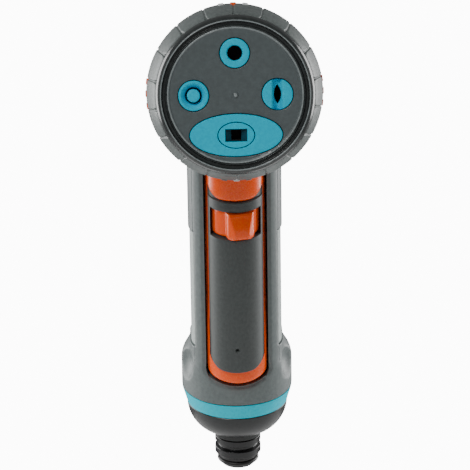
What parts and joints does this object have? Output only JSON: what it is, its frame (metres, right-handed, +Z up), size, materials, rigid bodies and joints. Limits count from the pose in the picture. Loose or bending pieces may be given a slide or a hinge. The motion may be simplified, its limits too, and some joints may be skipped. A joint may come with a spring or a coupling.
{
  "type": "hose spray nozzle",
  "caption": "Pistol-grip hose spray nozzle with a full-length front trigger, a lock wheel in the trigger, a turning multi-pattern head and a quick-connect hose plug.",
  "frame": {"origin": "centre of the end face of the hose plug", "axes": "+Z up, along the height of the head above the plug; +X to the right as the front of the head is seen; water leaves along -Y"},
  "size_m": [0.0666, 0.1299, 0.1912],
  "materials": {
    "shell": "fine matt texture",
    "soft_grip": "soft, slightly mottled",
    "dark_plastic": "satin",
    "face": "fine matt texture",
    "insert": "satin",
    "base_ring": "satin",
    "orange": "glossy",
    "pad": "matt",
    "plug": "satin",
    "seal": "smooth",
    "tube": "natural",
    "core": "satin",
    "steel": "bright"
  },
  "bodies": {
    "gun": {"body_shell": "shell", "front_frame": "shell", "rear_grip": "soft_grip", "base_ring": "base_ring", "base_cap": "dark_plastic", "hose_plug": "plug", "plug_o_ring": "seal", "inlet_screen": "steel", "water_tube": "tube", "valve_body": "tube", "valve_seat": "seal", "stem_o_ring": "seal", "valve_spring": "steel", "valve_plug": "tube", "outlet_tube": "tube", "port_plate": "core", "port_seal": "seal", "detent_ball": "steel", "detent_spring": "steel", "turret_screw": "steel", "trigger_pin": "steel", "trigger_spring": "steel", "body_screws": "steel"},
    "turret": {"turret_cup": "dark_plastic", "grip_ring": "soft_grip", "bezel": "dark_plastic", "face_plate": "face", "jet_insert": "insert", "cone_insert": "insert", "cone_pin": "insert", "flat_insert": "insert", "oval_insert": "insert", "oval_core": "insert", "pattern_marks": "orange"},
    "lever": {"trigger": "orange", "trigger_pad": "pad", "lock_pin": "steel"},
    "lock": {"lock_wheel": "orange"},
    "stem": {"valve_stem": "steel"}
  },
  "joints": [
    {"name": "head_turn", "type": "hinge", "parent": "gun", "child": "turret", "pos_m": [0, -0.118, 0.156], "axis": [0, -1, 0], "continuous": true},
    {"name": "trigger_squeeze", "type": "hinge", "parent": "gun", "child": "lever", "pos_m": [0, -0.05773, 0.12746], "axis": [1, 0, 0], "range_deg": [0, 5.5], "stiffness_Nm_per_rad": 1.5, "springref_deg": -8.59},
    {"name": "lock_turn", "type": "hinge", "parent": "lever", "child": "lock", "pos_m": [0, -0.05039, 0.1046], "axis": [0, -0.3057, 0.9521], "range_deg": [-42, 18]},
    {"name": "valve_travel", "type": "slide", "parent": "gun", "child": "stem", "axis": [0, 0.9521, 0.3057], "range_m": [0, 0.0039], "deforming": ["valve_spring"]}
  ],
  "couplings": [
    {"joint": "valve_travel", "follows": "trigger_squeeze", "m_per_rad": 0.039}
  ]
}
